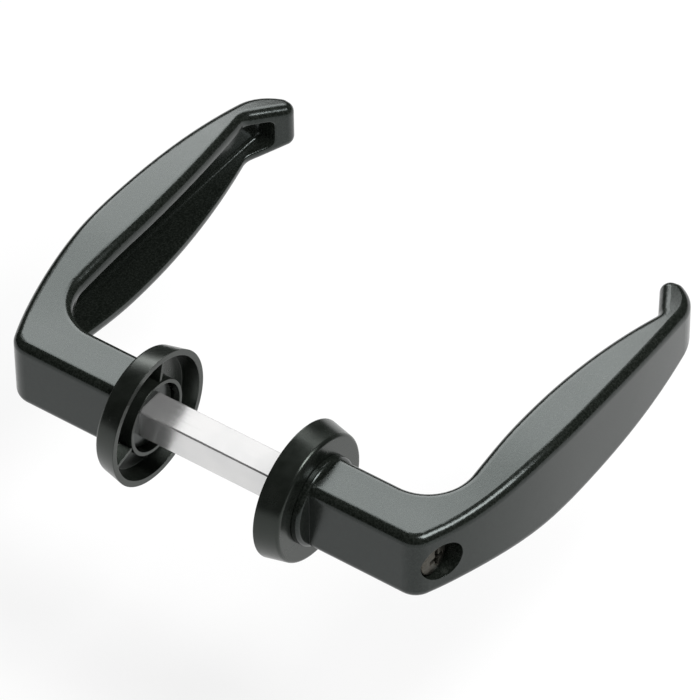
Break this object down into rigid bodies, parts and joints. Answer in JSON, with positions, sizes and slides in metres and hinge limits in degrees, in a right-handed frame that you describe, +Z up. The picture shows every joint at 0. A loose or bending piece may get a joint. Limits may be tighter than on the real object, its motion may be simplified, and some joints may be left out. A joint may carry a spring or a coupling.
{
  "type": "lever handle set",
  "caption": "Hooked, hollow-backed lever handles with round rosettes on a shared square spindle, to turn a latch from both sides of a door or window.",
  "frame": {"origin": "on the spindle axis, midway between the rosettes", "axes": "+X along the levers to their tips, +Y along the spindle to the rear lever, +Z up"},
  "size_m": [0.118, 0.1334, 0.0344],
  "materials": {
    "lever_coat": "satin black powder coat on die-cast aluminium, with a fine grain",
    "rosette_plastic": "black moulded nylon, slightly glossier on its edges",
    "spindle_steel": "bright zinc-plated bar",
    "screw_steel": "zinc-plated, slightly dull"
  },
  "bodies": {
    "levers": {"front_lever": "lever_coat", "rear_lever": "lever_coat", "spindle": "spindle_steel", "fixing_screw": "screw_steel"},
    "front_rosette": {"front_rosette": "rosette_plastic"},
    "rear_rosette": {"rear_rosette": "rosette_plastic"}
  },
  "joints": [
    {"name": "front_rosette_turn", "type": "hinge", "parent": "levers", "child": "front_rosette", "pos_m": [0, -0.0226, 0], "axis": [0, 1, 0], "continuous": true},
    {"name": "rear_rosette_turn", "type": "hinge", "parent": "levers", "child": "rear_rosette", "pos_m": [0, 0.0226, 0], "axis": [0, 1, 0], "continuous": true}
  ]
}
